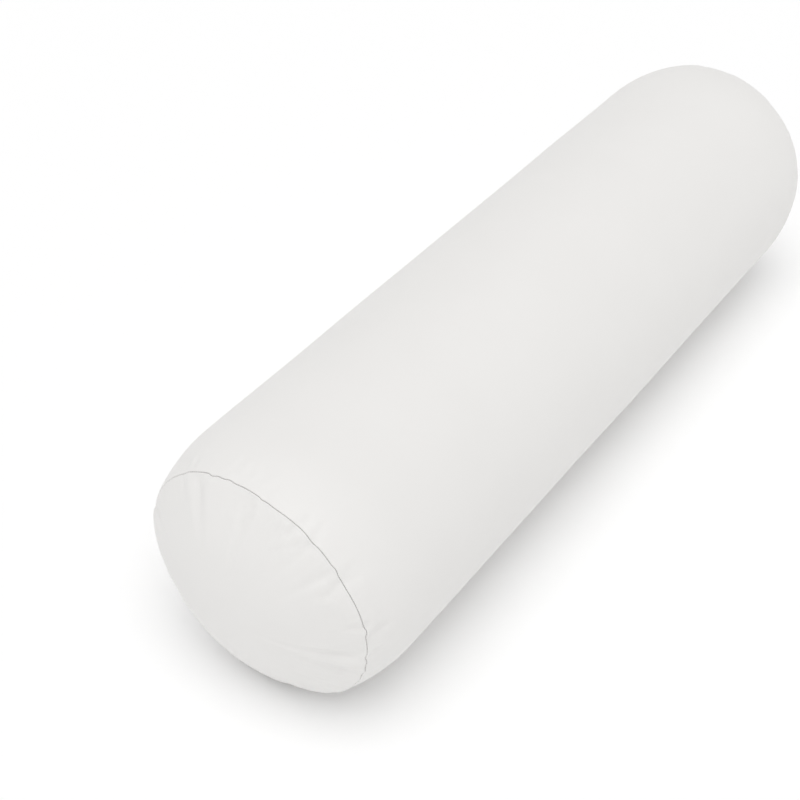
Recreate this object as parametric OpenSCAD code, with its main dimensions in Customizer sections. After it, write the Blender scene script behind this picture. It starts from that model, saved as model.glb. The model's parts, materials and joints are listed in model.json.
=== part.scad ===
// Bolster pillow: a zipped fabric cover over a cased cushion of foam and fibre.
// It lies along X on the plane z = 0. The plain end is at -X and the zipped end at +X.
// Angles round the bolster run from the top, over the +Y side, down to the floor and up the -Y side.

/* [Bolster] */
// Diameter over the cover
body_d = 152; // [130:1:180]
// Length of the side wall between the two end seams
seam_length = 490; // [400:5:600]
// Diameter of the end seams, where the cloth pulls in
seam_d = 138; // [118:1:150]
// Length of the stretch at each end that curves in to the seam
shoulder_run = 36; // [25:1:45]
// Height of the domed ends past their seams
crown = 24; // [16:1:30]
// Width of the strip that presses flat on the floor
flat_width = 40; // [20:1:50]

/* [Cloth] */
// Thickness of the cover cloth
cover_t = 0.6; // [0.5:0.05:0.6]
// Width of the turned-in edge along each cover seam
hem_width = 10; // [6:0.5:12]
// Angle from the top to the lengthwise seam
side_seam_angle = 125; // [110:1:140]
// Gap in the cloth along the lengthwise seam
slit_width = 0.3; // [0.1:0.05:0.5]
// Thickness of the cushion's casing
liner_t = 0.5; // [0.3:0.05:0.6]

/* [Cushion] */
// Gap between the cover and the cushion along the side wall, turned-in edges included
cushion_inset = 1.45; // [1.4:0.05:2]
// Diameter of the foam core
core_d = 120; // [90:1:124]
// Length of the foam core
core_length = 452; // [360:1:460]

/* [Stitches] */
// Distance from one stitch to the next
stitch_pitch = 3.5; // [3:0.25:6]
// Diameter of the sewing thread
thread_d = 0.4; // [0.3:0.05:0.5]

/* [Zip] */
// Angle from the top at which the closed slider stands
slider_angle = 90; // [85:1:95]
// How far round the end the slider travels, in degrees
zip_travel = 172; // [120:1:180]
// Width between the two folded cloth edges
zip_gap = 6; // [5.6:0.1:7]
// Width of one row of the coil
coil_width = 1.5; // [1.3:0.1:1.6]
// Height of the coil
coil_height = 1.5; // [1.3:0.1:1.5]
// Distance from one loop of the coil to the next
coil_pitch = 1.3; // [1.2:0.1:2]
// Gap between the two rows, in which the slider's post runs
coil_gap = 1; // [0.9:0.1:1.2]
// Thickness of the tape
tape_t = 0.45; // [0.3:0.05:0.5]
// Width of each tape
tape_width = 11; // [8:0.5:13]
// Length of the slider
slider_length = 8.6; // [8:0.1:9]
// Width of the slider over its flanges
slider_width = 6.6; // [6.4:0.1:6.8]
// Length of the pull from its pivot to its tip
pull_length = 20; // [15:0.5:26]
// Width of the pull at its widest
pull_width = 5.2; // [4.4:0.1:6]

/* [Hidden] */

$fn = 96;
arc_steps = 12;
big = 2 * seam_length;
snug = 0.05;

body_r = body_d / 2;
seam_r = seam_d / 2;
half = seam_length / 2;
axis_z = sqrt(body_r * body_r - flat_width * flat_width / 4);

// A form is [radius, half length between seams, seam radius, shoulder run, crown].
cover_form = [body_r, half, seam_r, shoulder_run, crown];
liner_corner_drop = 6.5;
liner_corner_back = 5;
liner_run_extra = 4;
liner_form = [
    body_r - cushion_inset,
    half - liner_corner_back,
    seam_r - liner_corner_drop,
    shoulder_run + liner_run_extra,
    crown + liner_corner_back - cushion_inset
];
filling_gap = 0.1;
filling_inset = liner_t + filling_gap;
// Depth of the face under a doubled cloth edge.
hem_inside = 2 * cover_t + snug;
liner_seam_angle = side_seam_angle + 180;

// ---- Outlines, as [x, r] points of a form that is inset by d ----

function arc_r(run, rise) = (run * run + rise * rise) / (2 * rise);
function shoulder_r(f) = arc_r(f[3], f[0] - f[2]);
function dome_r(f) = arc_r(f[2], f[4]);
function shoulder_centre(f) = [f[1] - f[3], f[0] - shoulder_r(f)];
function dome_centre(f) = [f[1] + f[4] - dome_r(f), 0];

// The corner between the shoulder and the dome, where their inset arcs cross.
function corner(f, d) =
    let (
        a = shoulder_centre(f),
        b = dome_centre(f),
        ra = shoulder_r(f) - d,
        rb = dome_r(f) - d,
        gap = norm(b - a),
        along = (ra * ra - rb * rb + gap * gap) / (2 * gap),
        across = sqrt(ra * ra - along * along),
        way = (b - a) / gap
    )
    a + along * way + across * [way.y, -way.x];
function shoulder_end(f, d) = asin((corner(f, d) - shoulder_centre(f)).x / (shoulder_r(f) - d));
function dome_end(f, d) = asin(corner(f, d).y / (dome_r(f) - d));
function on_shoulder(f, d, angle) =
    shoulder_centre(f) + (shoulder_r(f) - d) * [sin(angle), cos(angle)];
function on_dome(f, d, angle) = dome_centre(f) + (dome_r(f) - d) * [cos(angle), sin(angle)];
function shoulder_arc(f, d, from, to) =
    [for (i = [0:arc_steps]) on_shoulder(f, d, from + (to - from) * i / arc_steps)];
function dome_arc(f, d, from, to) =
    [for (i = [0:arc_steps]) on_dome(f, d, from + (to - from) * i / arc_steps)];
function flipped(line) = [for (i = [len(line) - 1:-1:0]) line[i]];
function other_end(line) = [for (p = flipped(line)) [-p.x, p.y]];
function both_ends(line) = concat(other_end(line), line);

// Angle that an edge of this width takes on the shoulder or the dome.
function shoulder_turn(f, width) = width / shoulder_r(f) * 180 / PI;
function dome_turn(f, width) = width / dome_r(f) * 180 / PI;

seam_angle = shoulder_end(cover_form, 0);
dome_angle = dome_end(cover_form, 0);
// Tilt of the zip: halfway between the normals of the side wall and the dome at the seam.
zip_tilt = (seam_angle + 90 - dome_angle) / 2;
corner_tilt = zip_tilt - seam_angle;

// ---- Placing ----

// Turns a flat [x, r] outline round the bolster's axis, from one angle to another.
module turned(points, from = 0, to = 360) {
    translate([0, 0, axis_z])
        rotate([0, -90, 0])
            rotate([0, 0, from])
                rotate_extrude(angle = to - from)
                    polygon([for (p = points) [p.y, -p.x]]);
}

// Puts a piece on the zipped end's seam: X across the seam, Y along it, Z outwards.
module on_seam(angle, side = 1) {
    translate([0, 0, axis_z])
        rotate([-angle, 0, 0])
            mirror([side < 0 ? 1 : 0, 0, 0])
                translate([half, 0, seam_r])
                    rotate([0, zip_tilt, 0])
                        children();
}

// Puts a piece on a point of a form's outline, with Z along the outline's normal.
module on_outline(angle, point, normal_angle) {
    translate([0, 0, axis_z])
        rotate([-angle, 0, 0])
            translate([point.x, 0, point.y])
                rotate([0, normal_angle, 0])
                    children();
}

module below(level) {
    translate([-big / 2, -big / 2, level - big])
        cube(big);
}

// ---- Cloth shells ----

// Everything under a form's side wall, out to its seams.
function barrel(f, d, end_d) = concat(
    [[-corner(f, end_d).x, 0]],
    [[-corner(f, end_d).x, corner(f, end_d).y]],
    both_ends(concat([[0, f[0] - d]], shoulder_arc(f, d, 0, shoulder_end(f, d)))),
    [corner(f, end_d)],
    [[corner(f, end_d).x, 0]]
);

// The space inside the cover's side wall, narrower along the turned-in edges.
function cover_bore(f) =
    let (
        hem_start = shoulder_end(f, 2 * cover_t) - shoulder_turn(f, hem_width),
        inside = corner(f, 2 * cover_t)
    )
    concat(
        [[-big, 0], [-big, inside.y]],
        both_ends(concat(
            [[0, f[0] - cover_t]],
            shoulder_arc(f, cover_t, 0, hem_start),
            shoulder_arc(f, 2 * cover_t, hem_start, shoulder_end(f, 2 * cover_t))
        )),
        [[big, inside.y], [big, 0]]
    );

// The domed end of the cover, doubled along its edge by the turned-in cloth.
function cover_dome(f) =
    let (hem_end = dome_end(f, 2 * cover_t) - dome_turn(f, hem_width))
    concat(
        dome_arc(f, 0, dome_end(f, 0), 0),
        dome_arc(f, cover_t, 0, hem_end),
        dome_arc(f, 2 * cover_t, hem_end, dome_end(f, 2 * cover_t))
    );

// The gap that the folded cloth edges leave for the zip, a little longer than the slider's path.
zip_lead = 6.5;
zip_run_out = 7.5;
zip_from = slider_angle - zip_lead;
zip_to = slider_angle + zip_travel + zip_run_out;
opening_depth = 4;
opening_height = 2;
function seam_point(u, w) =
    [half, seam_r] + u * [cos(zip_tilt), -sin(zip_tilt)] + w * [sin(zip_tilt), cos(zip_tilt)];
function seam_box(u0, u1, w0, w1) =
    [seam_point(u0, w0), seam_point(u1, w0), seam_point(u1, w1), seam_point(u0, w1)];
module zip_opening() {
    turned(seam_box(-zip_gap / 2, zip_gap / 2, -opening_depth, opening_height), zip_from, zip_to);
}

// Half the length of the straight stretch between a form's shoulders.
function straight_reach(f) = f[1] - f[3];

// The two turned-in edges along the cover's lengthwise seam.
side_hem_width = 8;
module side_seam_edges(f, depth) {
    half_turn = side_hem_width / f[0] * 180 / PI;
    reach = straight_reach(f);
    outside = f[0] + 1;
    turned(
        [[-reach, f[0] - depth], [-reach, outside], [reach, outside], [reach, f[0] - depth]],
        side_seam_angle - half_turn,
        side_seam_angle + half_turn
    );
}

// The line where the two long edges of a side wall meet.
module side_slit(f, angle, depth) {
    translate([0, 0, axis_z])
        rotate([-angle, 0, 0])
            translate([0, 0, f[0]])
                cube([2 * straight_reach(f), slit_width, 2 * depth], center = true);
}

module cover_tube() {
    color("white")
    difference() {
        turned(barrel(cover_form, 0, 2 * cover_t));
        below(0);
        difference() {
            turned(cover_bore(cover_form));
            below(cover_t);
            side_seam_edges(cover_form, 2 * cover_t);
        }
        side_slit(cover_form, side_seam_angle, 2 * cover_t + snug);
        zip_opening();
    }
}

module cover_end_plain() {
    color("white")
        mirror([1, 0, 0])
            turned(cover_dome(cover_form));
}

module cover_end_zipped() {
    color("white")
    difference() {
        turned(cover_dome(cover_form));
        zip_opening();
    }
}

// ---- Stitches ----

thread_r = thread_d / 2;
seam_stitch = 2.6;
zip_stitch_margin = 1;

// A stitch that crosses from one joined edge to the other.
module cross_stitch() {
    rotate([0, 90, 0])
        cylinder(r = thread_r, h = seam_stitch, center = true);
}

// The stitches of a lengthwise seam, inside the thickness of the cloth.
module side_stitches(f, angle, depth) {
    reach = straight_reach(f) - stitch_pitch;
    for (x = [-reach:stitch_pitch:reach])
        on_outline(angle, [x, f[0] - depth], 0)
            rotate([0, 0, 90])
                cross_stitch();
}

// A stitch that shows on the cloth and goes down through it into the tape.
top_stitch = 2.4;
top_stitch_depth = hem_inside + tape_t;
module tape_stitch() {
    rotate([90, 0, 0])
        cylinder(r = thread_r, h = top_stitch, center = true);
    translate([0, top_stitch / 2 - thread_r, -top_stitch_depth])
        cylinder(r = thread_r, h = top_stitch_depth);
}

function stitch_angles(r, from, to) =
    let (count = floor((to - from) * PI / 180 * r / stitch_pitch))
    [for (i = [0:count - 1]) from + (to - from) * (i + 0.5) / count];

module seam_stitches_side() {
    color("gainsboro")
        side_stitches(cover_form, side_seam_angle, cover_t);
}

module seam_stitches_plain_end() {
    color("gainsboro")
    for (angle = stitch_angles(seam_r, 0, 360))
        on_seam(angle, -1)
            translate([0, 0, -cover_t])
                cross_stitch();
}

module seam_stitches_zipped_end() {
    color("gainsboro")
    for (angle = stitch_angles(seam_r, zip_to + zip_stitch_margin, 360 + zip_from - zip_stitch_margin))
        on_seam(angle)
            translate([0, 0, -cover_t])
                cross_stitch();
}

fold_to_stitch = 2;
stitch_from_seam = zip_gap / 2 + fold_to_stitch;
module zip_stitches_tube_side() {
    at = seam_angle - shoulder_turn(cover_form, stitch_from_seam);
    color("gainsboro")
    for (angle = stitch_angles(seam_r, zip_from, zip_to))
        on_outline(angle, on_shoulder(cover_form, 0, at), at)
            tape_stitch();
}

module zip_stitches_end_side() {
    at = dome_angle - dome_turn(cover_form, stitch_from_seam);
    color("gainsboro")
    for (angle = stitch_angles(seam_r, zip_from, zip_to))
        on_outline(angle, on_dome(cover_form, 0, at), 90 - at)
            tape_stitch();
}

// ---- Zip ----

tape_inset = hem_inside;
// Each tape starts this far from the middle, so that the slider's straight post clears it
// where the tape curves away; the coil's inner edge hangs over.
tape_edge = 1.15;
tape_tail = 3.5;

module zip_tape_tube_side() {
    edge = seam_angle - shoulder_turn(cover_form, tape_edge);
    far = edge - shoulder_turn(cover_form, tape_width);
    color("whitesmoke")
        turned(
            concat(
                shoulder_arc(cover_form, tape_inset, far, edge),
                shoulder_arc(cover_form, tape_inset + tape_t, edge, far)
            ),
            zip_from - tape_tail,
            zip_to + tape_tail
        );
}

module zip_tape_end_side() {
    edge = dome_angle - dome_turn(cover_form, tape_edge);
    far = edge - dome_turn(cover_form, tape_width);
    color("whitesmoke")
        turned(
            concat(
                dome_arc(cover_form, tape_inset, far, edge),
                dome_arc(cover_form, tape_inset + tape_t, edge, far)
            ),
            zip_from - tape_tail,
            zip_to + tape_tail
        );
}

// Across and height of a point that is given along a tape's own face, from the seam corner.
function tape_across(side, x, z) = side * x * cos(corner_tilt) + side * z * sin(corner_tilt);
function tape_height(x, z) = z * cos(corner_tilt) - x * sin(corner_tilt);
function tape_point(side, x, z) = seam_point(tape_across(side, x, z), tape_height(x, z));
function tape_strip(side, x0, x1, z0, z1) = [
    tape_point(side, x0, z0),
    tape_point(side, x1, z0),
    tape_point(side, x1, z1),
    tape_point(side, x0, z1)
];

// A block that stands on a tape: x0 to x1 across, and centred along the seam.
module on_tape(angle, side, x0, x1, length, height) {
    on_seam(angle)
        rotate([0, side * corner_tilt, 0])
            translate([side * (x0 + x1) / 2, 0, height / 2 - tape_inset])
                cube([x1 - x0, length, height], center = true);
}

// A row starts where its foot is half the gap away from the middle.
coil_inner = (coil_gap / 2 + tape_inset * sin(corner_tilt)) / cos(corner_tilt);
coil_outer = coil_inner + coil_width;
coil_top = coil_height - tape_inset;
coil_high = tape_height(coil_inner, coil_top);
coil_overrun = 4;
coil_from = slider_angle - coil_overrun;
coil_to = slider_angle + zip_travel + coil_overrun;
loop_t = 0.7;
first_loop = 0.25;
core_width = 0.6;
core_margin = 0.3;

// One row: a core along the row with a loop across it at each pitch.
module coil_row(side, offset) {
    span = coil_to - coil_from;
    count = floor(span * PI / 180 * seam_r / coil_pitch);
    step = span / count;
    core_x = coil_outer - core_margin - core_width;
    color("white") {
        turned(
            tape_strip(side, core_x, core_x + core_width,
                core_margin - tape_inset, coil_top - core_margin),
            coil_from,
            coil_to
        );
        for (i = [0:count - 1])
            on_tape(coil_from + step * (i + first_loop + offset), side,
                coil_inner, coil_outer, loop_t, coil_height);
    }
}

module zip_coil_tube_side() {
    coil_row(-1, 0);
}

module zip_coil_end_side() {
    coil_row(1, 0.5);
}

stop_length = 1.6;
stop_height = coil_height + 0.2;
stop_margin = 0.1;
stop_lap = 0.3;
top_stop_turn = 1;
bottom_stop_turn = 1.2;

// Each row ends at its own stop.
module zip_top_stops() {
    color("white")
    for (side = [-1, 1])
        on_tape(coil_from - top_stop_turn, side,
            coil_inner - stop_margin, coil_outer + stop_margin, stop_length, stop_height);
}

// The two halves lap at the middle, so that one stop holds both tapes.
module zip_bottom_stop() {
    color("white")
    for (side = [-1, 1])
        on_tape(coil_to + bottom_stop_turn, side,
            -stop_lap, coil_outer + stop_margin, stop_length, stop_height);
}

// ---- Slider and pull ----

plate_t = 0.75;
coil_clearance = 0.3;
// The tape curves under the straight plate, so the plate keeps further from it.
tape_clearance = 0.65;
top_plate_low = coil_high + coil_clearance;
top_plate_high = top_plate_low + plate_t;
flange_w = 0.6;
flange_inset = 0.1;
flange_length = 4.6;
flange_forward = 0.3;
flange_low = -0.4;
bottom_plate_high = -(tape_inset + tape_t) / cos(corner_tilt)
    - slider_width / 2 * tan(corner_tilt) - tape_clearance;
post_width = 0.6;
post_length = 2.6;
post_setback = 0.4;
pivot_rise = 1.2;
pivot_z = top_plate_high + pivot_rise;
pivot_bore_r = 0.65;
pivot_pin_r = 0.56;
crown_t = 1.2;
crown_run = 5.2;
crown_r = 1.4;
crown_foot_r = 0.5;
crown_foot_sink = 0.2;

// Plate outline: full width at the front, narrower at the rear, with round corners.
module slider_outline() {
    front_r = 1.4;
    rear_r = 1.2;
    rear_in = 0.5;
    x_front = slider_width / 2 - front_r;
    x_rear = slider_width / 2 - rear_in - rear_r;
    hull()
        for (side = [-1, 1]) {
            translate([side * x_front, -slider_length / 2 + front_r])
                circle(r = front_r, $fn = 32);
            translate([side * x_rear, slider_length / 2 - rear_r])
                circle(r = rear_r, $fn = 32);
        }
}

module slider_plate(low) {
    translate([0, 0, low])
        linear_extrude(height = plate_t)
            slider_outline();
}

// Edges of the top plate that turn down beside the coil.
module slider_flanges() {
    across = slider_width / 2 - flange_inset - flange_w / 2;
    height = top_plate_high - flange_low;
    for (side = [-1, 1])
        translate([side * across, -flange_forward, flange_low + height / 2])
            cube([flange_w, flange_length, height], center = true);
}

// Bridge over the top plate, bored for the pull.
module slider_bridge() {
    rotate([90, 0, 90])
        translate([0, 0, -crown_t / 2])
            difference() {
                linear_extrude(height = crown_t)
                    hull() {
                        for (side = [-1, 1])
                            translate([
                                side * (crown_run / 2 - crown_foot_r),
                                top_plate_high - crown_foot_sink
                            ])
                                circle(r = crown_foot_r, $fn = 32);
                        translate([0, pivot_z])
                            circle(r = crown_r, $fn = 48);
                    }
                translate([0, pivot_z, -1])
                    cylinder(r = pivot_bore_r, h = crown_t + 2);
            }
}

module zip_slider() {
    color("ghostwhite")
    on_seam(slider_angle) {
        slider_plate(top_plate_low);
        slider_plate(bottom_plate_high - plate_t);
        slider_flanges();
        slider_bridge();
        translate([
            -post_width / 2,
            -slider_length / 2 + post_setback,
            bottom_plate_high - plate_t / 2
        ])
            cube([post_width, post_length, top_plate_low - bottom_plate_high + plate_t]);
    }
}

arm_w = 1;
arm_gap = crown_t / 2 + 0.2;
arm_r = 0.75;
arm_length = 4;
neck_lap = 0.4;
neck_length = 1;
pull_t = 1;
pull_hole_r = 1.1;

module zip_pull() {
    arm_x = arm_gap + arm_w / 2;
    tip_r = pull_width / 2;
    neck_w = 2 * (arm_gap + arm_w);
    color("ghostwhite")
    on_seam(slider_angle)
        translate([0, 0, pivot_z]) {
            rotate([0, 90, 0])
                cylinder(r = pivot_pin_r, h = neck_w - arm_w, center = true);
            for (side = [-1, 1])
                translate([side * arm_x - arm_w / 2, 0, 0]) {
                    rotate([0, 90, 0])
                        cylinder(r = arm_r, h = arm_w);
                    translate([0, 0, -pull_t / 2])
                        cube([arm_w, arm_length, pull_t]);
                }
            translate([0, 0, -pull_t / 2])
                difference() {
                    linear_extrude(height = pull_t)
                        hull() {
                            translate([-neck_w / 2, arm_length - neck_lap])
                                square([neck_w, neck_length]);
                            translate([0, pull_length - tip_r])
                                circle(r = tip_r, $fn = 64);
                        }
                    translate([0, pull_length - tip_r, -1])
                        cylinder(r = pull_hole_r, h = pull_t + 2);
                }
        }
}

// ---- Label ----

// A blank label that starts at the zipped end's seam and lies flat inside the cover.
module care_label() {
    label_t = 0.25;
    label_angle = 40;
    label_turn = 8;
    start = 3;
    inset = hem_inside;
    color("aliceblue")
        turned(
            concat(
                shoulder_arc(cover_form, inset, start, seam_angle - 1),
                shoulder_arc(cover_form, inset + label_t, seam_angle - 1, start)
            ),
            label_angle - label_turn,
            label_angle + label_turn
        );
}

// ---- Cushion ----

module liner_tube() {
    color("ivory")
    difference() {
        turned(barrel(liner_form, 0, liner_t));
        below(cushion_inset);
        side_slit(liner_form, liner_seam_angle, liner_t + snug);
        difference() {
            turned(concat(
                [[-big, 0], [-big, corner(liner_form, liner_t).y]],
                both_ends(concat(
                    [[0, liner_form[0] - liner_t]],
                    shoulder_arc(liner_form, liner_t, 0, shoulder_end(liner_form, liner_t))
                )),
                [[big, corner(liner_form, liner_t).y], [big, 0]]
            ));
            below(cushion_inset + liner_t);
        }
    }
}

module liner_end() {
    turned(concat(
        dome_arc(liner_form, 0, dome_end(liner_form, 0), 0),
        dome_arc(liner_form, liner_t, 0, dome_end(liner_form, liner_t))
    ));
}

module liner_end_zipped() {
    color("ivory")
        liner_end();
}

module liner_end_plain() {
    color("ivory")
        mirror([1, 0, 0])
            liner_end();
}

module liner_stitches_side() {
    color("gainsboro")
        side_stitches(liner_form, liner_seam_angle, liner_t / 2);
}

module liner_end_stitches() {
    tilt = (shoulder_end(liner_form, 0) + 90 - dome_end(liner_form, 0)) / 2;
    for (angle = stitch_angles(liner_form[2], 0, 360))
        on_outline(angle, corner(liner_form, liner_t / 2), tilt)
            cross_stitch();
}

module liner_stitches_zipped_end() {
    color("gainsboro")
        liner_end_stitches();
}

module liner_stitches_plain_end() {
    color("gainsboro")
        mirror([1, 0, 0])
            liner_end_stitches();
}

// Everything that the casing holds, before it is split into wrap, pads and core.
module filling() {
    difference() {
        turned(concat(
            [[-corner(liner_form, filling_inset).x, 0]],
            both_ends(concat(
                [[0, liner_form[0] - filling_inset]],
                shoulder_arc(liner_form, filling_inset, 0, shoulder_end(liner_form, filling_inset)),
                dome_arc(liner_form, filling_inset, dome_end(liner_form, filling_inset), 0)
            )),
            [[0, 0]]
        ));
        below(cushion_inset + filling_inset);
    }
}

module fibre_wrap() {
    color("snow")
    difference() {
        intersection() {
            filling();
            cube([core_length, big, big], center = true);
        }
        translate([-big / 2, 0, axis_z])
            rotate([0, 90, 0])
                cylinder(d = core_d + 2 * filling_gap, h = big);
    }
}

module fibre_pad_zipped_end() {
    color("snow")
    intersection() {
        filling();
        translate([core_length / 2 + filling_gap, -big / 2, -big / 2])
            cube(big);
    }
}

module fibre_pad_plain_end() {
    mirror([1, 0, 0])
        fibre_pad_zipped_end();
}

module foam_core() {
    color("lemonchiffon")
        translate([-core_length / 2, 0, axis_z])
            rotate([0, 90, 0])
                cylinder(d = core_d, h = core_length);
}

cover_tube();
cover_end_plain();
cover_end_zipped();
seam_stitches_side();
seam_stitches_plain_end();
seam_stitches_zipped_end();
zip_tape_tube_side();
zip_tape_end_side();
zip_stitches_tube_side();
zip_stitches_end_side();
zip_coil_tube_side();
zip_coil_end_side();
zip_top_stops();
zip_bottom_stop();
zip_slider();
zip_pull();
care_label();
liner_tube();
liner_end_plain();
liner_end_zipped();
liner_stitches_side();
liner_stitches_plain_end();
liner_stitches_zipped_end();
fibre_wrap();
fibre_pad_plain_end();
fibre_pad_zipped_end();
foam_core();
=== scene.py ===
import json
import math

import bpy
import numpy as np
from mathutils import Matrix, Vector, noise


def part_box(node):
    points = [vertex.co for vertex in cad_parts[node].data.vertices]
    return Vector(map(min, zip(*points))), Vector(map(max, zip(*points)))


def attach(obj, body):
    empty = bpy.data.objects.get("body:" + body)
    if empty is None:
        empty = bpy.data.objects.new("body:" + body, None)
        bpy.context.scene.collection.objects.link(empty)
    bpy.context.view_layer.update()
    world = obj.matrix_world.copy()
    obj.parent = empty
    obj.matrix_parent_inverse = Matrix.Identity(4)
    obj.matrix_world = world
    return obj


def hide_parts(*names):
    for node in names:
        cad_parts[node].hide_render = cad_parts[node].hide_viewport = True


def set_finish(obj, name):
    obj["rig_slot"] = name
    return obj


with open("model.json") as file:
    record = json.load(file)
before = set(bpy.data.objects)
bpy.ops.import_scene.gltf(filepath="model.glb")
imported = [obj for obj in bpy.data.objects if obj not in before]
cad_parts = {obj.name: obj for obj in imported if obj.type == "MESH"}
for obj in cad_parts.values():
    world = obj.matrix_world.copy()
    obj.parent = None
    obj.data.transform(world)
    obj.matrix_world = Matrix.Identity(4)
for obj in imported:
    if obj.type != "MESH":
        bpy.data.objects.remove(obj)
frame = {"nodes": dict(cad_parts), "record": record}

# A bolster pillow: a zipped cloth cover over a cased cushion. It lies along X on the floor, plain end at -X
# and zipped end at +X. Angles run from the top, over the +Y side, down to the floor and up the -Y side.
# Everything is in metres.

MM = 0.001
TAU = 2 * math.pi
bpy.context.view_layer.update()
nodes = frame["nodes"]


# ---- Sizes ----

# A small turn, in radians, that finds the way round the pillow at a point.
NUDGE = 0.01
# Keeps a division by a length of zero from failing.
TINY = 1e-9

SHOULDER_RUN = 36 * MM
CASING_SHOULDER_RUN = 40 * MM
AXIS_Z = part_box("cover_tube")[1].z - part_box("cover_tube")[1].y

# Sewn cloths turn in round ROLL_R, each ROLL_GAP from the seam's middle, and go on for ALLOWANCE.
# Beside the zip they fold under by HEM_DEPTH instead, and come back for HEM_RETURN.
CLOTH_T = 0.35 * MM
HEM_DEPTH = 1.2 * MM
ROLL_R = 0.55 * MM
ROLL_GAP = 0.06 * MM
ALLOWANCE = 4 * MM
HEM_RETURN = 7 * MM
COVER_SEAM_ANGLE = math.radians(125)
CASING_SEAM_ANGLE = math.radians(305)

ZIP_FROM = math.radians(83.5)
ZIP_TO = math.radians(269.5)
ZIP_GAP = 6 * MM
ZIP_END_TURN = math.radians(2.5)
SEWN_MARGIN = math.radians(1)
TAPE_INSET = 1.25 * MM
TAPE_T = 0.45 * MM
TAPE_EDGE = 1.15 * MM
TAPE_WIDTH = 11 * MM
TAPE_TAIL = math.radians(3.5)
COIL_FROM = math.radians(86)
COIL_TO = math.radians(266)
COIL_GAP = 0.9 * MM
COIL_WIDTH = 1.6 * MM
COIL_HEIGHT = 1.5 * MM
COIL_PITCH = 1.3 * MM
FILAMENT_R = 0.25 * MM

STITCH_PITCH = 3.5 * MM
THREAD_R = 0.2 * MM
LABEL_T = 0.25 * MM
LABEL_ANGLE = math.radians(40)
LABEL_HALF_TURN = math.radians(8)
LABEL_BACK = (1.7 * MM, 0.82 * SHOULDER_RUN)

COLUMNS = 312
FIRST_ROW = 0.8 * MM
ROW_GROWTH = 1.13
WALL_ROW = 12 * MM
DOME_ROW = 4 * MM
POLE_CLEAR = DOME_ROW / 4
ARC_POINTS = 7
DOWN_POINTS = 3
SECTION_BLEND = 20 * MM
BAND_STEP = 1.5 * MM
BAND_COLUMNS_LEAST = 12
BAND_ROWS = 9
FLOOR_SOFTNESS = 0.8 * MM


def smooth(x):
    """0 below 0, 1 above 1, and an even rise between."""
    x = np.clip(x, 0, 1)
    return x * x * (3 - 2 * x)


def arc_radius(run, rise):
    """The radius of an arc that leaves its tangent by rise over the distance run."""
    return (run * run + rise * rise) / (2 * rise)


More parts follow.
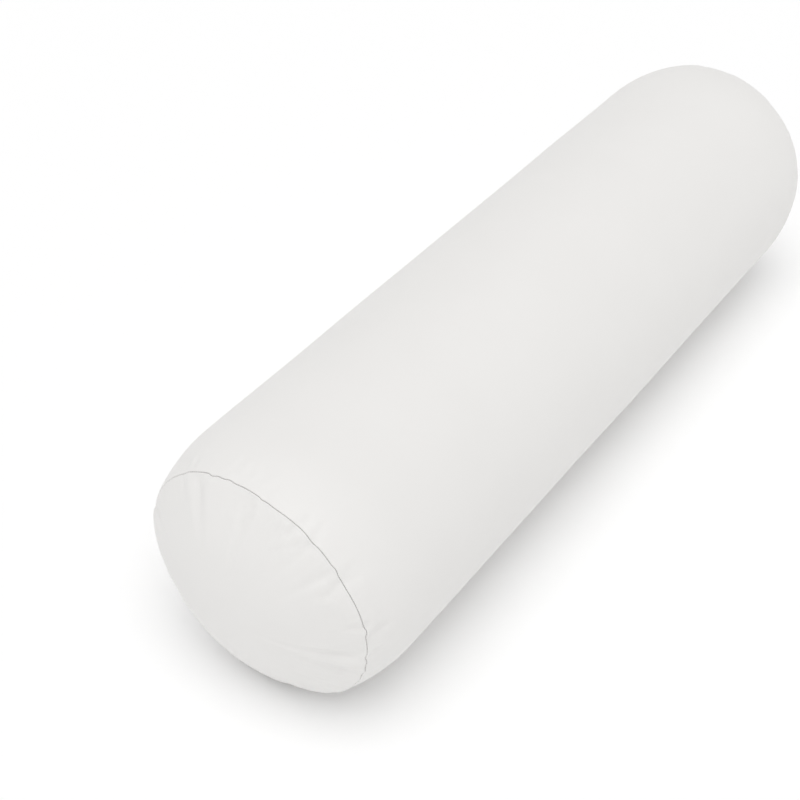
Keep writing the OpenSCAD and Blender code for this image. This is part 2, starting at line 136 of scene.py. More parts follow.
class Form:
    """The outline of a case: straight wall, shoulder, seam and dome, as x and radius.

    A distance called back is measured on the cloth, away from the end's seam."""

    def __init__(self, wall_node, end_node, run):
        low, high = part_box(wall_node)
        end_low, end_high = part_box(end_node)
        self.radius = high.y
        self.seam_x = high.x
        self.seam_r = end_high.y
        self.floor = low.z
        self.straight = self.seam_x - run
        self.crown = max(-end_low.x, end_high.x) - self.seam_x
        self.shoulder_r = arc_radius(run, self.radius - self.seam_r)
        self.dome_r = arc_radius(self.seam_r, self.crown)
        shoulder_angle = math.asin(run / self.shoulder_r)
        dome_angle = math.asin(self.seam_r / self.dome_r)
        self.wall_reach = self.straight + self.shoulder_r * shoulder_angle
        self.dome_reach = self.dome_r * dome_angle
        self.tilt = (shoulder_angle + math.pi / 2 - dome_angle) / 2
        self.corner_tilt = self.tilt - shoulder_angle

    def wall(self, back, depth=0):
        """A point of the side wall, or depth under it."""
        s = self.wall_reach - back
        turn = np.maximum(s - self.straight, 0) / self.shoulder_r
        bend = self.shoulder_r - depth
        x = np.minimum(s, self.straight) + bend * np.sin(turn)
        return x, self.radius - self.shoulder_r + bend * np.cos(turn)

    def dome(self, back, depth=0):
        """A point of the end panel, or depth under it."""
        turn = (self.dome_reach - back) / self.dome_r
        bend = self.dome_r - depth
        return self.seam_x + self.crown - self.dome_r + bend * np.cos(turn), bend * np.sin(turn)

    def surface(self, part, back, depth=0):
        return self.wall(back, depth) if part == "wall" else self.dome(back, depth)

    def across_seam(self, back):
        """Points on both sides of the seam: negative distances are wall, positive ones dome."""
        x_wall, r_wall = self.wall(np.maximum(-back, 0))
        x_dome, r_dome = self.dome(np.maximum(back, 0))
        return np.where(back <= 0, x_wall, x_dome), np.where(back <= 0, r_wall, r_dome)

    def in_seam(self, across, height):
        """A point near the seam: across it, towards the dome, and outwards."""
        x = self.seam_x + across * math.cos(self.tilt) + height * math.sin(self.tilt)
        return x, self.seam_r - across * math.sin(self.tilt) + height * math.cos(self.tilt)

    def roll_start(self):
        """Distance from the seam at which a sewn cloth starts to turn in."""
        return (ROLL_GAP + ROLL_R * (1 + math.sin(self.corner_tilt))) / math.cos(self.corner_tilt)

    def fold_start(self):
        """Distance from the seam at which a cloth beside the zip starts to fold under."""
        r = HEM_DEPTH / 2
        return (ZIP_GAP / 2 + r * (1 + math.sin(self.corner_tilt))) / math.cos(self.corner_tilt)

    def rolled_edge(self, part):
        """The cloth's section where it turns in at a sewn seam, from the surface down."""
        side = -1 if part == "wall" else 1
        start = self.roll_start()
        low = -start * math.sin(self.corner_tilt) - ROLL_R * math.cos(self.corner_tilt)
        turn = np.linspace(self.corner_tilt, -math.pi / 2, ARC_POINTS + 1)[1:]
        across = np.append(ROLL_GAP + ROLL_R + ROLL_R * np.sin(turn), [ROLL_GAP] * DOWN_POINTS)
        down = ALLOWANCE * np.arange(1, DOWN_POINTS + 1) / DOWN_POINTS
        height = np.append(low + ROLL_R * np.cos(turn), low - down)
        return self.in_seam(side * across, height)

    def folded_edge(self, part):
        """The cloth's section where it folds under beside the zip, from the surface down."""
        r = HEM_DEPTH / 2
        turn = np.linspace(0, math.pi, ARC_POINTS + 1)[1:]
        along = HEM_RETURN * np.arange(1, DOWN_POINTS + 1) / DOWN_POINTS
        back = self.fold_start() + np.append(-r * np.sin(turn), along)
        depth = np.append(r - r * np.cos(turn), [HEM_DEPTH] * DOWN_POINTS)
        return self.surface(part, back, depth)


cover = Form("cover_tube", "cover_end_plain", SHOULDER_RUN)
casing = Form("liner_tube", "liner_end_plain", CASING_SHOULDER_RUN)


def in_space(form, x, r, theta):
    """Points of the outline, turned round the axis and pressed flat on what is under them."""
    height = AXIS_Z + r * np.cos(theta) - form.floor
    height = (height + np.sqrt(height ** 2 + FLOOR_SOFTNESS ** 2)) / 2
    x, y, z = np.broadcast_arrays(x, r * np.sin(theta), form.floor + height)
    return np.stack([x, y, z], axis=-1)


# ---- Mesh helpers ----

def put_in_scene(name, data):
    piece = bpy.data.objects.new(name, data)
    bpy.context.scene.collection.objects.link(piece)
    return piece


def grid_faces(rows, cols, closed, poled):
    """Faces of a grid of points, closed round its columns or not, with a pole after its last row."""
    faces = []
    last = (rows - 1) * cols
    for j in range(cols if closed else cols - 1):
        k = (j + 1) % cols
        for i in range(0, last, cols):
            faces.append((i + j, i + cols + j, i + cols + k, i + k))
        if poled:
            faces.append((last + j, rows * cols, last + k))
    return faces


def smooth_faces(mesh):
    mesh.polygons.foreach_set("use_smooth", [True] * len(mesh.polygons))


def taken_as_mesh(piece):
    """The piece's evaluated mesh. The piece itself is removed."""
    evaluated = piece.evaluated_get(bpy.context.evaluated_depsgraph_get())
    mesh = bpy.data.meshes.new_from_object(evaluated)
    bpy.data.objects.remove(piece)
    return mesh


# ---- How the cloth settles at an end ----

CAP_COLUMNS = 156
CAP_STEP = 3 * MM
CAP_WALL = 60 * MM
POLE = 12 * MM
SETTLE_FRAMES = 20
STUFFING_PRESSURE = 300
EASE = 0.36
EASE_UNEVENNESS = 1.0
EASE_WAVES = range(2, 12)
EASE_FADE = 0.12
EASE_TOP = 0.2
RIPPLE = 0.25 * MM
RIPPLE_REACH = 14 * MM
RIPPLE_WAVES = range(11, 26)
MOST_MOVE_WALL = 0.3 * MM
MOST_MOVE_DOME = 0.65 * MM
MOVE_BLEND = 6 * MM
STILL_WITHIN = 40 * MM
FULL_WITHIN = 8 * MM


def uneven(rng, waves, theta, fade=0.0):
    """A smooth random line round the end, from -1 to 1."""
    line = sum(
        rng.normal() * np.cos(n * theta + rng.uniform(0, TAU)) / (1 + fade * n) for n in waves
    )
    return line / np.abs(line).max()


def cap_mesh(form, back, theta, ripple):
    """One end of the cover as a cloth, from the wall over the seam to the dome's middle."""
    x, r = form.across_seam(back)
    r = r[:, None] + ripple
    grid = np.stack(
        [np.broadcast_to(x[:, None], r.shape), r * np.sin(theta), r * np.cos(theta)], axis=-1
    )
    verts = np.concatenate([grid.reshape(-1, 3), [[form.seam_x + form.crown, 0, 0]]])
    mesh = bpy.data.meshes.new("settling_cloth")
    mesh.from_pydata(verts.tolist(), [], grid_faces(len(back), CAP_COLUMNS, True, True))
    return put_in_scene("settling_cloth", mesh)


def cloth_settings(piece, spare):
    """The cloth's stiffness, the stuffing's pressure, and the spare cloth eased into the seam."""
    pinned = piece.vertex_groups.new(name="pinned")
    pinned.add(list(range(CAP_COLUMNS)), 1.0, "REPLACE")
    eased = piece.vertex_groups.new(name="eased")
    for index, amount in enumerate(spare):
        eased.add([index], float(1 - min(amount, EASE_TOP) / EASE_TOP), "REPLACE")
    modifier = piece.modifiers.new("cloth", "CLOTH")
    cloth = modifier.settings
    cloth.quality = 6
    cloth.mass = 0.02
    cloth.tension_stiffness = 40
    cloth.compression_stiffness = 40
    cloth.shear_stiffness = 10
    cloth.bending_stiffness = 0.5
    cloth.vertex_group_mass = "pinned"
    cloth.vertex_group_shrink = "eased"
    cloth.shrink_max = 0
    cloth.shrink_min = -EASE_TOP
    cloth.use_pressure = True
    cloth.uniform_pressure_force = STUFFING_PRESSURE
    cloth.effector_weights.gravity = 0
    modifier.collision_settings.use_collision = False
    modifier.point_cache.frame_start = 1
    modifier.point_cache.frame_end = SETTLE_FRAMES


def settle(form, seed):
    """How far the cloth moves from the plain outline, as waves round the end.

    Returns, for the wall and for the dome, arrays [distance row, x or radius, wave]."""
    wall_rows = int(CAP_WALL / CAP_STEP) + 1
    dome_rows = int((form.dome_reach - POLE) / CAP_STEP)
    back = CAP_STEP * np.arange(1 - wall_rows, dome_rows + 1)
    theta = np.arange(CAP_COLUMNS) * TAU / CAP_COLUMNS
    rng = np.random.default_rng(seed)
    ease = EASE * (1 + EASE_UNEVENNESS * uneven(rng, EASE_WAVES, theta, EASE_FADE))
    fade = np.exp(-np.abs(back) / RIPPLE_REACH)[:, None]
    piece = cap_mesh(form, back, theta, RIPPLE * fade * uneven(rng, RIPPLE_WAVES, theta))

    # The flat cut is wider than the pulled-in seam: this is the spare cloth in each ring.
    filled_x, filled_r = form.across_seam(back)
    cut_r = np.where(back <= 0, form.radius, form.dome_reach - back)
    spare = (np.maximum(cut_r - filled_r, 0) / filled_r)[:, None] * ease
    cloth_settings(piece, np.append(spare.ravel(), 0))

    scene = bpy.context.scene
    for number in range(1, SETTLE_FRAMES + 1):
        scene.frame_set(number)
    settled = piece.evaluated_get(bpy.context.evaluated_depsgraph_get()).data
    points = np.empty(3 * len(settled.vertices), np.float32)
    settled.vertices.foreach_get("co", points)
    points = points.reshape(-1, 3)[:-1].reshape(len(back), CAP_COLUMNS, 3).astype(float)
    bpy.data.objects.remove(piece)
    scene.frame_set(1)

    radius = points[..., 1] * np.sin(theta) + points[..., 2] * np.cos(theta)
    move = np.stack([points[..., 0] - filled_x[:, None], radius - filled_r[:, None]], axis=1)
    move -= move.mean(axis=2, keepdims=True)
    size = np.sqrt((move ** 2).sum(axis=1, keepdims=True)) + TINY
    towards_dome = smooth((back + MOVE_BLEND) / (2 * MOVE_BLEND))[:, None, None]
    most = MOST_MOVE_WALL + (MOST_MOVE_DOME - MOST_MOVE_WALL) * towards_dome
    move *= most * np.tanh(size / most) / size
    near = 1 - smooth((np.abs(back) - FULL_WITHIN) / (STILL_WITHIN - FULL_WITHIN))
    waves = np.fft.rfft(move * near[:, None, None], axis=2) / CAP_COLUMNS
    waves[..., 1:] *= 2
    middle = wall_rows - 1
    return {"wall": waves[middle::-1], "dome": waves[middle:]}


def between_rows(table, distance):
    """Catmull-Rom between rows CAP_STEP apart; nothing past the last row."""
    rows = np.concatenate([table[1:2], table, np.zeros((3, *table.shape[1:]))])
    at = np.clip(distance / CAP_STEP, 0, len(table))
    i = np.floor(at).astype(int)
    t = (at - i)[:, None, None]
    before, here, after, beyond = (rows[i + k] for k in range(4))
    return 0.5 * (
        2 * here + (after - before) * t
        + (2 * before - 5 * here + 4 * after - beyond) * t ** 2
        + (3 * here - before - 3 * after + beyond) * t ** 3
    )


def crease(angle, depth, half_turn, deepest):
    """A soft crease: angle and half width in degrees, depth and where it is deepest in mm."""
    return math.radians(angle), depth * MM, math.radians(half_turn), deepest * MM


def nip(angle, pull, half_turn):
    """A short place where the gathered cloth pulls the seam towards the dome (degrees, mm)."""
    return math.radians(angle), pull * MM, math.radians(half_turn)


PLAIN_DOME_CREASES = [
    crease(26, 1.20, 5.0, 8), crease(357, 1.10, 4.0, 9), crease(326, 0.95, 4.0, 6),
    crease(312, 0.85, 3.5, 7), crease(266, 1.50, 4.0, 10), crease(254, 1.20, 3.5, 9),
    crease(234, 0.70, 4.0, 7), crease(75, 0.45, 4.5, 7), crease(118, 0.45, 4.5, 8),
]
PLAIN_WALL_CREASES = [
    crease(278, 0.60, 3.0, 4), crease(265, 0.65, 3.0, 4), crease(358, 0.25, 3.0, 4),
    crease(200, 0.30, 4.0, 6), crease(95, 0.20, 3.5, 4),
]
PLAIN_NIPS = [
    nip(18, 0.7, 2.5), nip(9, -0.5, 2.5), nip(352, 0.4, 2.0), nip(326, 0.4, 3.0), nip(312, -0.5, 2.5),
    nip(281, -0.8, 2.5), nip(266, 0.9, 2.5), nip(256, -0.5, 2.5), nip(118, 0.2, 3.0), nip(75, 0.25, 3.0),
]
ZIPPED_DOME_CREASES = [
    crease(20, 0.40, 5.0, 9), crease(342, 0.35, 5.0, 9), crease(305, 0.40, 5.0, 9),
    crease(52, 0.35, 5.0, 8), crease(150, 0.45, 5.0, 16), crease(215, 0.50, 5.0, 18),
]
ZIPPED_WALL_CREASES = [
    crease(8, 0.15, 4.0, 4), crease(322, 0.15, 4.0, 4), crease(62, 0.15, 4.0, 4),
]
ZIPPED_NIPS = [
    nip(20, 0.15, 3.5), nip(342, 0.15, 3.5), nip(322, -0.15, 3.5), nip(305, 0.15, 3.5), nip(52, 0.2, 3.5),
]

WANDER = 0.5 * MM
WANDER_WAVES = range(3, 17)
WANDER_FADE = 0.15
WANDER_REACH = 9 * MM
NIP_REACH = 5 * MM
ZIPPED_RESTLESS = 0.4
ZIP_STILL_REACH = 12 * MM
CREASE_RIDGE = 1.2
PLAIN_SEED = 3
ZIPPED_SEED = 11
CASING_SEED = 40
WANDER_SEED = 100


def dent(theta, angle, half_turn):
    """The section of a crease: 1 in its bottom, with a low ridge on either side."""
    off = (np.mod(theta - angle + math.pi, TAU) - math.pi) / half_turn
    return (1 - CREASE_RIDGE * off ** 2) * np.exp(-off ** 2)


class End:
    """One end of a case: the way it faces, how its cloth lies, and whether a zip opens it.

    restless is the share of the settled cloth's movement and of the seam's wander that is kept."""

    def __init__(
        self, form, way, seed, zipped=False, creases=None, nips=(), settled=True, restless=1.0
    ):
        self.form = form
        self.way = way
        self.zipped = zipped
        self.creases = creases or {"wall": [], "dome": []}
        self.nips = nips
        self.waves = settle(form, seed) if settled else None
        self.seed = seed
        self.restless = restless

    def open_at(self, theta):
        """1 where the zip parts the two cloths, 0 where they are sewn together."""
        if not self.zipped:
            return np.zeros_like(theta)
        turn = np.mod(theta, TAU)
        return smooth((turn - ZIP_FROM) / ZIP_END_TURN) * smooth((ZIP_TO - turn) / ZIP_END_TURN)

    def start(self, theta):
        """Distance from the seam at which the cloth starts to turn in."""
        roll, fold = self.form.roll_start(), self.form.fold_start()
        return roll + (fold - roll) * self.open_at(theta)

    def back_of(self, distance, theta):
        """Distance from the seam of a row that is this far from where the cloth turns in."""
        squeeze = np.maximum(1 - distance / SECTION_BLEND, 0)
        return distance + self.start(theta) * squeeze

    def row_of(self, back, theta):
        """The other way round, for a piece that stands on the cloth near its seam."""
        start = self.start(theta)
        return np.maximum((back - start) / (1 - start / SECTION_BLEND), 0)

    def move(self, part, distance, theta):
        """How the cloth differs from the plain outline: x and radius, [row, column]."""
        distance = np.atleast_1d(distance)[:, None]
        dx = np.zeros((len(distance), len(theta)))
        dr = np.zeros_like(dx)
        if self.waves is not None:
            table = self.restless * between_rows(self.waves[part], distance[:, 0])
            turns = np.exp(1j * np.outer(np.arange(table.shape[2]), theta))
            dx, dr = np.real(table[:, 0] @ turns), np.real(table[:, 1] @ turns)
        rng = np.random.default_rng(self.seed + WANDER_SEED)
        around = np.linspace(0, TAU, COLUMNS + 1)
        line = uneven(rng, WANDER_WAVES, around, WANDER_FADE)
        wander = np.interp(np.mod(theta, TAU), around, line)
        wander = self.restless * WANDER * wander * np.exp(-distance / WANDER_REACH)
        for angle, pull, half_turn in self.nips:
            wander = wander + pull * dent(theta, angle, half_turn) * np.exp(-distance / NIP_REACH)
        dx = dx + wander * math.cos(self.form.tilt)
        dr = dr - wander * math.sin(self.form.tilt)
        x0, r0 = self.form.surface(part, distance, 0)
        x1, r1 = self.form.surface(part, distance, 1)
        for angle, depth, half_turn, deepest in self.creases[part]:
            fade = distance / deepest * np.exp(1 - distance / deepest)
            sunk = depth * fade * dent(theta, angle, half_turn)
            dx = dx + sunk * (x1 - x0)
            dr = dr + sunk * (r1 - r0)
        still = 1 - self.open_at(theta) * np.exp(-(distance / ZIP_STILL_REACH) ** 2)
        return dx * still, dr * still

    def edge(self, part, theta):
        """The turned-in edge, [point, column], from the surface down."""
        x0, r0 = (v[:, None] for v in self.form.rolled_edge(part))
        x1, r1 = (v[:, None] for v in self.form.folded_edge(part))
        mix = self.open_at(theta)
        dx, dr = self.move(part, 0, theta)
        return x0 + (x1 - x0) * mix + dx, r0 + (r1 - r0) * mix + dr

    def on_cloth(self, part, back, depth, theta):
        """Points under or on the cloth, following how it lies: [point, 3]."""
        x, r = self.form.surface(part, back, depth)
        row = self.row_of(back, theta)
        dx, dr = self.move(part, np.atleast_1d(row), theta)
        if dx.shape[0] > 1:
            dx, dr = np.diagonal(dx), np.diagonal(dr)
        x, r = x + dx.ravel(), r + dr.ravel()
        return in_space(self.form, self.way * x, r, theta)

    def in_seam(self, across, height, theta):
        """Points near the seam, following how it lies: [point, 3]."""
        x, r = self.form.in_seam(across, height)
        dx, dr = self.move("wall", 0, theta)
        return in_space(self.form, self.way * (x + dx[0]), r + dr[0], theta)


# ---- Meshes ----

pieces = {}


def finish_piece(piece, slot, replaced):
    """Ties a new piece to the bolster's body, its material slot and the CAD nodes it replaces."""
    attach(piece, "bolster")
    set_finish(piece, slot)
    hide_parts(*replaced)
    pieces[piece.name] = piece


def grid_piece(name, points, cut, slot, replaced, closed=False, pole=None, flip=False, thick=0.0):
    """A cloth from rows of points, with its flat cut as UV, and its thickness inwards."""
    rows, cols = points.shape[:2]
    verts = points.reshape(-1, 3)
    flat = cut.reshape(-1, 2)
    faces = grid_faces(rows, cols, closed, pole is not None)
    if pole is not None:
        verts = np.concatenate([verts, [pole]])
        flat = np.concatenate([flat, [[0, 0]]])
    if flip:
        faces = [face[::-1] for face in faces]
    mesh = bpy.data.meshes.new(name)
    mesh.from_pydata(verts.tolist(), [], faces)
    smooth_faces(mesh)
    corner = np.empty(len(mesh.loops), np.int32)
    mesh.loops.foreach_get("vertex_index", corner)
    mesh.uv_layers.new(name="cut").data.foreach_set("uv", flat[corner].ravel())
    piece = put_in_scene(name, mesh)
    if thick:
        modifier = piece.modifiers.new("thickness", "SOLIDIFY")
        modifier.thickness = thick
        modifier.offset = -1
    finish_piece(piece, slot, replaced)


def growing_rows(reach, first, growth, most):
    """Distances from 0 to reach, close together at first."""
    rows = [0.0]
    step = first
    while rows[-1] + step < reach:
        rows.append(rows[-1] + step)
        step = min(step * growth, most)
    return np.array(rows) * reach / rows[-1]


def wall_columns(form, seam_angle):
    """Angles round the wall, with the turned-in long edges at its lengthwise seam.

    Returns the angles, the depth of the round turn and the depth of the straight allowance."""
    turn = np.linspace(0, math.pi / 2, ARC_POINTS + 1)[1:]
    down = ALLOWANCE * np.arange(1, DOWN_POINTS + 1) / DOWN_POINTS
    across = np.append(ROLL_GAP + ROLL_R - ROLL_R * np.sin(turn), [ROLL_GAP] * DOWN_POINTS)
    bend = np.append(ROLL_R - ROLL_R * np.cos(turn), [ROLL_R] * DOWN_POINTS)
    straight = np.append(np.zeros(ARC_POINTS), down)
    first = (ROLL_GAP + ROLL_R) / form.radius
    flat = np.linspace(seam_angle + first, seam_angle + TAU - first, COLUMNS)
    near, far = seam_angle + across / form.radius, seam_angle + TAU - across / form.radius
    nothing = np.zeros(COLUMNS)
    return (
        np.concatenate([near[::-1], flat, far]),
        np.concatenate([bend[::-1], nothing, bend]),
        np.concatenate([straight[::-1], nothing, straight]),
    )


LUMP = 0.3 * MM
LUMP_SEED = 5
# Waves round the pillow, and the length of one along it.
LUMP_WAVES = ((2, 0.11), (3, 0.17), (5, 0.26))
LUMP_CLEAR = 25 * MM
LUMP_RISE = 40 * MM
ALLOWANCE_FADE = (12 * MM, 30 * MM)
CAUGHT_SHARE = 0.1


def lumps(form, along, theta):
    """The stuffing's slight unevenness, none of it near the seams. along runs from the middle."""
    rng = np.random.default_rng(LUMP_SEED)
    total = 0
    for turns, length in LUMP_WAVES:
        total = total + np.cos(turns * theta + rng.uniform(0, TAU)) * np.cos(
            TAU * along / length + rng.uniform(0, TAU)
        )
    back = form.wall_reach - np.abs(along)
    return LUMP * total / len(LUMP_WAVES) * smooth((back - LUMP_CLEAR) / LUMP_RISE)


def edge_cut(points, theta):
    """Where a turned-in edge's points lie on the flat cut: past the first row, ROLL_R apart."""
    return -np.arange(points, 0, -1)[:, None] * ROLL_R * np.ones_like(theta)


def wall_piece(name, form, ends, seam_angle, slot, replaced):
    """The side wall: one cloth from the plain end's seam allowance to the zipped end's.

    Near the ends the lengthwise seam's allowance is flat, because it is caught in their seams."""
    theta, bend, straight = wall_columns(form, seam_angle)
    rows = growing_rows(form.wall_reach, FIRST_ROW, ROW_GROWTH, WALL_ROW)
    halves = []
    for end in ends:
        back = end.back_of(rows[:, None], theta)
        x, r = form.wall(back)
        dx, dr = end.move("wall", rows, theta)
        uneven_by = lumps(form, end.way * (form.wall_reach - back), theta)
        inward = smooth((back - ALLOWANCE_FADE[0]) / (ALLOWANCE_FADE[1] - ALLOWANCE_FADE[0]))
        x, r = x + dx, r + dr + uneven_by - bend - straight * np.maximum(inward, CAUGHT_SHARE)
        x_edge, r_edge = end.edge("wall", theta)
        r_edge = r_edge - bend - straight * CAUGHT_SHARE
        x = np.concatenate([x_edge[::-1], x])
        r = np.concatenate([r_edge[::-1], r])
        cut = form.wall_reach - np.concatenate([edge_cut(len(x_edge), theta), back])
        halves.append((end.way * x, r, end.way * cut))
    (x0, r0, s0), (x1, r1, s1) = halves
    x = np.concatenate([x0, x1[-2::-1]])
    r = np.concatenate([r0, r1[-2::-1]])
    s = np.concatenate([s0, s1[-2::-1]])
    cut = np.stack([s, np.broadcast_to(theta * form.radius, s.shape)], axis=-1)
    grid_piece(name, in_space(form, x, r, theta), cut, slot, replaced, thick=CLOTH_T)


def end_piece(name, end, slot, replaced):
    """A round end panel, domed by the stuffing."""
    form = end.form
    theta = np.arange(COLUMNS) * TAU / COLUMNS
    rows = growing_rows(form.dome_reach - POLE_CLEAR, FIRST_ROW, ROW_GROWTH, DOME_ROW)
    back = end.back_of(rows[:, None], theta)
    x, r = form.dome(back)
    dx, dr = end.move("dome", rows, theta)
    x_edge, r_edge = end.edge("dome", theta)
    x = np.concatenate([x_edge[::-1], x + dx])
    r = np.concatenate([r_edge[::-1], r + dr])
    rho = form.dome_reach - np.concatenate([edge_cut(len(x_edge), theta), back])
    cut = np.stack([rho * np.sin(theta), rho * np.cos(theta)], axis=-1)
    pole = [end.way * (form.seam_x + form.crown), 0, AXIS_Z]
    points = in_space(form, end.way * x, r, theta)
    grid_piece(name, points, cut, slot, replaced, closed=True, pole=pole, flip=end.way < 0,
               thick=CLOTH_T)


def band_piece(name, end, part, back_from, back_to, depth, thick, turn_from, turn_to, slot, node):
    """A strip of ribbon or tape that lies under the cloth, along the seam."""
    count = max(int((turn_to - turn_from) * end.form.seam_r / BAND_STEP), BAND_COLUMNS_LEAST)
    theta = np.linspace(turn_from, turn_to, count)
    across = np.linspace(back_from, back_to, BAND_ROWS)
    points = np.stack([end.on_cloth(part, np.full(count, b), depth, theta) for b in across])
    cut = np.stack(np.meshgrid(across, theta * end.form.seam_r, indexing="ij"), axis=-1)
    flip = (part == "wall") == (end.way > 0)
    grid_piece(name, points, cut, slot, [node], flip=flip, thick=thick)


STITCH_SIDES = 8
STITCH_RINGS = 9
# How bluntly a stitch's ends close, to what share (squared) of its radius, and with what tip.
STITCH_BLUNT = 6
STITCH_END_SLIM = 0.02
STITCH_TIP = 0.2 * THREAD_R
# How far its ends dive into the cloth, in thread radii.
STITCH_DIVE = 1.6
DOWN = np.array([0.0, 0.0, -1.0])


def capsule_piece(name, middles, along, length, node, sink=None):
    """Short stitches of thread with round ends. sink is the way that their ends dive."""
    sides, rings = STITCH_SIDES, STITCH_RINGS
    around = np.arange(sides) * TAU / sides
    reach = np.linspace(-1, 1, rings)
    slim = np.sqrt(np.maximum(1 - np.abs(reach) ** STITCH_BLUNT, STITCH_END_SLIM))
    verts, faces = [], []
    for number, (middle, way) in enumerate(zip(middles, along)):
        way = way / np.linalg.norm(way)
        down = sink[number] if sink is not None else DOWN
        a = np.cross(way, down)
        a /= np.linalg.norm(a)
        b = np.cross(way, a)
        base = number * (sides * rings + 2)
        dive = reach ** 4 * THREAD_R * (STITCH_DIVE if sink is not None else 0)
        spine = middle + np.outer(reach * length / 2, way) + np.outer(dive, down)
        ring = np.outer(np.cos(around), a) + np.outer(np.sin(around), b)
        tube = spine[:, None] + THREAD_R * slim[:, None, None] * ring[None]
        verts.extend(tube.reshape(-1, 3).tolist())
        verts.append((spine[0] - way * STITCH_TIP).tolist())
        verts.append((spine[-1] + way * STITCH_TIP).tolist())
        first, last = base + sides * rings, base + sides * rings + 1
        for j in range(sides):
            k = (j + 1) % sides
            for i in range(rings - 1):
                p, q = base + i * sides, base + (i + 1) * sides
                faces.append((p + j, q + j, q + k, p + k))
            faces.append((first, base + j, base + k))
            end = base + (rings - 1) * sides
            faces.append((last, end + k, end + j))
    mesh = bpy.data.meshes.new(name)
    mesh.from_pydata(verts, [], faces)
    smooth_faces(mesh)
    finish_piece(put_in_scene(name, mesh), "thread", [node])


# ---- The ends, then the cloths ----

plain_end = End(
    cover, -1, PLAIN_SEED, nips=PLAIN_NIPS,
    creases={"wall": PLAIN_WALL_CREASES, "dome": PLAIN_DOME_CREASES},
)
zipped_end = End(
    cover, 1, ZIPPED_SEED, zipped=True, nips=ZIPPED_NIPS, restless=ZIPPED_RESTLESS,
    creases={"wall": ZIPPED_WALL_CREASES, "dome": ZIPPED_DOME_CREASES},
)
casing_ends = [End(casing, way, CASING_SEED + way, settled=False) for way in (-1, 1)]

wall_piece("cover_side_wall", cover, (plain_end, zipped_end), COVER_SEAM_ANGLE, "cover_cloth",
           ["cover_tube"])
end_piece("cover_plain_end", plain_end, "cover_cloth", ["cover_end_plain"])
end_piece("cover_zipped_end", zipped_end, "cover_cloth", ["cover_end_zipped"])
wall_piece("casing_side_wall", casing, casing_ends, CASING_SEAM_ANGLE, "liner_cloth",
           ["liner_tube"])
end_piece("casing_plain_end", casing_ends[0], "liner_cloth", ["liner_end_plain"])
end_piece("casing_zipped_end", casing_ends[1], "liner_cloth", ["liner_end_zipped"])


# ---- Tapes, label and coil ----

for name, part, node in (("tape_on_side_wall", "wall", "zip_tape_tube_side"),
                         ("tape_on_end", "dome", "zip_tape_end_side")):
    band_piece(name, zipped_end, part, TAPE_EDGE, TAPE_EDGE + TAPE_WIDTH, TAPE_INSET, TAPE_T,
               ZIP_FROM - TAPE_TAIL, ZIP_TO + TAPE_TAIL, "zip_tape", node)

band_piece("blank_label", zipped_end, "wall", *LABEL_BACK, TAPE_INSET, LABEL_T,
           LABEL_ANGLE - LABEL_HALF_TURN, LABEL_ANGLE + LABEL_HALF_TURN, "label_cloth",
           "care_label")


COIL_STEPS = 12
CORD_STEPS = 2


def coil_piece(name, side, phase, node):
    """One row of the coil: a filament wound round a cord, standing on its tape."""
    tilt = cover.corner_tilt
    inner = (COIL_GAP / 2 + TAPE_INSET * math.sin(tilt)) / math.cos(tilt)
    middle = inner + COIL_WIDTH / 2
    rise = COIL_HEIGHT / 2 - TAPE_INSET
    loops = int((COIL_TO - COIL_FROM) * cover.seam_r / COIL_PITCH)
    curve = bpy.data.curves.new(name, "CURVE")
    curve.dimensions = "3D"
    curve.bevel_depth = FILAMENT_R
    curve.bevel_resolution = 1
    curve.use_fill_caps = True

    def add_line(turn, width, height):
        along = np.mod(turn / TAU + phase, loops + 1) / loops
        theta = COIL_FROM + (COIL_TO - COIL_FROM) * along
        x = middle + width * np.cos(turn)
        z = rise + height * np.sin(turn)
        across = side * (x * math.cos(tilt) + z * math.sin(tilt))
        up = z * math.cos(tilt) - x * math.sin(tilt)
        points = zipped_end.in_seam(across, up, theta)
        spline = curve.splines.new("POLY")
        spline.points.add(len(points) - 1)
        spline.points.foreach_set("co", np.column_stack([points, np.ones(len(points))]).ravel())
        spline.use_smooth = True

    add_line(np.arange(loops * COIL_STEPS) * TAU / COIL_STEPS, COIL_WIDTH / 2 - FILAMENT_R,
             COIL_HEIGHT / 2 - FILAMENT_R)
    add_line(np.arange(loops * CORD_STEPS) * TAU / CORD_STEPS, 0.0, 0.0)
    mesh = taken_as_mesh(put_in_scene("winding", curve))
    finish_piece(put_in_scene(name, mesh), "zip_coil", [node])


coil_piece("coil_row_on_side_wall", -1, 0.0, "zip_coil_tube_side")
coil_piece("coil_row_on_end", 1, 0.5, "zip_coil_end_side")


# ---- Fibre wadding ----

TUFT_VOXEL = 3 * MM
TUFT_DEPTH = 0.9 * MM
TUFT_SIZES = (9 * MM, 21 * MM)


def wadding_piece(name, node):
    """A layer of fibre: its CAD form, with its surface pressed in unevenly between tufts."""
    layer = nodes[node].copy()
    bpy.context.scene.collection.objects.link(layer)
    layer.parent = None
    remesh = layer.modifiers.new("remesh", "REMESH")
    remesh.mode = "VOXEL"
    remesh.voxel_size = TUFT_VOXEL
    mesh = taken_as_mesh(layer)
    points = np.empty(3 * len(mesh.vertices), np.float32)
    normals = np.empty_like(points)
    mesh.vertices.foreach_get("co", points)
    mesh.vertex_normals.foreach_get("vector", normals)
    points, normals = points.reshape(-1, 3), normals.reshape(-1, 3)
    tufts = sum(
        np.array([0.5 + 0.5 * noise.noise(Vector(point) / size) for point in points])
        for size in TUFT_SIZES
    ) / len(TUFT_SIZES)
    points -= normals * tufts[:, None] * TUFT_DEPTH
    mesh.vertices.foreach_set("co", points.ravel())
    smooth_faces(mesh)
    finish_piece(put_in_scene(name, mesh), "fibre", [node])


